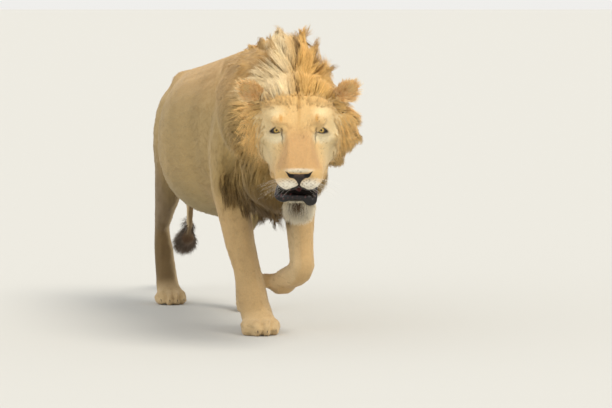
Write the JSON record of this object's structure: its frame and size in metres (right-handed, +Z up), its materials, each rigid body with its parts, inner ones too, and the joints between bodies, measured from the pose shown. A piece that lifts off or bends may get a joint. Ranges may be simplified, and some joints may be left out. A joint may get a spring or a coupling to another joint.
{
  "type": "lion figure",
  "caption": "Life-size walking male lion with a mane, one forepaw lifted, head low and mouth slightly open.",
  "frame": {"origin": "on the floor, under the middle of the animal's outline", "axes": "+Y points to the tail, +X to the animal's left and +Z up"},
  "size_m": [0.4704, 2.133, 0.9867],
  "materials": {
    "coat": "short tan fur, matte",
    "pale_coat": "short cream fur, matte",
    "mane": "long golden hair, matte",
    "dark_mane": "long brown hair, matte",
    "nose_leather": "black pebbled skin, satin",
    "tongue": "moist pink skin",
    "eye": "wet amber eye"
  },
  "bodies": {
    "root": {"back": "coat", "belly": "coat", "chest": "coat", "ear_left": "coat", "ear_right": "coat", "eye_left": "eye", "eye_right": "eye", "forearm_left": "pale_coat", "forearm_right": "pale_coat", "forepaw_left": "pale_coat", "forepaw_right": "pale_coat", "head": "coat", "hindfoot_left": "coat", "hindfoot_right": "coat", "hindquarters": "coat", "jaw": "pale_coat", "mane_breast": "dark_mane", "mane_crest": "mane", "mane_neck": "mane", "mane_ruff_left": "mane", "mane_ruff_right": "mane", "nose": "nose_leather", "shank_left": "coat", "shank_right": "coat", "tail_base": "coat", "tail_end": "coat", "tail_middle": "coat", "tail_tuft": "dark_mane", "thigh_left": "coat", "thigh_right": "coat", "tongue": "tongue", "upper_arm_left": "coat", "upper_arm_right": "coat"}
  },
  "joints": []
}
